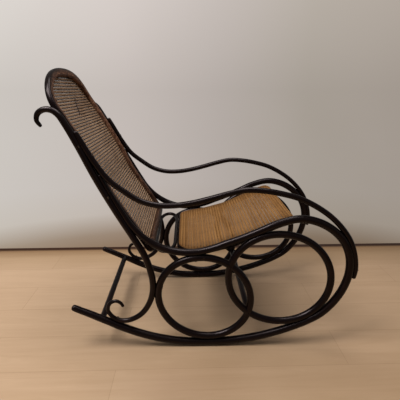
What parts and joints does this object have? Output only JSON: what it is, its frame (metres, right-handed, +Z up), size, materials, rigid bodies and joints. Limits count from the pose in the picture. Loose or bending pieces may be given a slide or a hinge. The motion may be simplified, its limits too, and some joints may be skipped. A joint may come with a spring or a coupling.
{
  "type": "bentwood rocking chair",
  "caption": "Bentwood rocking chair with curled side frames, ring braces, swept arms, and a caned seat and arched caned back.",
  "frame": {"origin": "middle of the base of the chair's bounding box, on the floor", "axes": "+X towards the front of the chair, +Y towards the sitter's left hand, +Z up"},
  "size_m": [1.0432, 0.546, 0.9657],
  "materials": {
    "stained_beech": "dark stained steam-bent beech, satin polish",
    "seat_cane": "open six-way woven cane, golden brown",
    "back_cane": "open six-way woven cane, greyed",
    "steel": "dull wood screw"
  },
  "bodies": {
    "root": {"runner_left": "stained_beech", "rear_post_left": "stained_beech", "arm_left": "stained_beech", "rear_ring_left": "stained_beech", "front_ring_left": "stained_beech", "seat_spacer_rear_left": "stained_beech", "seat_spacer_front_left": "stained_beech", "runner_right": "stained_beech", "rear_post_right": "stained_beech", "arm_right": "stained_beech", "rear_ring_right": "stained_beech", "front_ring_right": "stained_beech", "seat_spacer_rear_right": "stained_beech", "seat_spacer_front_right": "stained_beech", "back_frame": "stained_beech", "back_cane": "back_cane", "seat_frame": "stained_beech", "seat_cane": "seat_cane", "spacer_loop": "stained_beech", "rear_stretcher": "stained_beech", "front_stretcher": "stained_beech", "screw_rear_ring_foot_left": "steel", "screw_rear_ring_foot_right": "steel", "screw_rear_ring_top_left": "steel", "screw_rear_ring_top_right": "steel", "screw_rear_ring_post_left": "steel", "screw_rear_ring_post_right": "steel", "screw_front_ring_foot_left": "steel", "screw_front_ring_foot_right": "steel", "screw_front_ring_top_left": "steel", "screw_front_ring_top_right": "steel", "screw_scroll_left": "steel", "screw_scroll_right": "steel", "screw_scarf_left": "steel", "screw_scarf_right": "steel", "screw_arm_rear_left": "steel", "screw_arm_rear_right": "steel", "screw_arm_front_left": "steel", "screw_arm_front_right": "steel", "screw_ring_crossing_left": "steel", "screw_ring_crossing_right": "steel", "screw_front_stretcher_left": "steel", "screw_front_stretcher_right": "steel", "screw_loop_seat_left": "steel", "screw_loop_seat_right": "steel", "screw_loop_back_left": "steel", "screw_loop_back_right": "steel", "screw_seat_rear_left": "steel", "screw_seat_rear_right": "steel", "screw_seat_front_left": "steel", "screw_seat_front_right": "steel", "screw_back_low_left": "steel", "screw_back_low_right": "steel", "screw_back_high_left": "steel", "screw_back_high_right": "steel"}
  },
  "joints": []
}
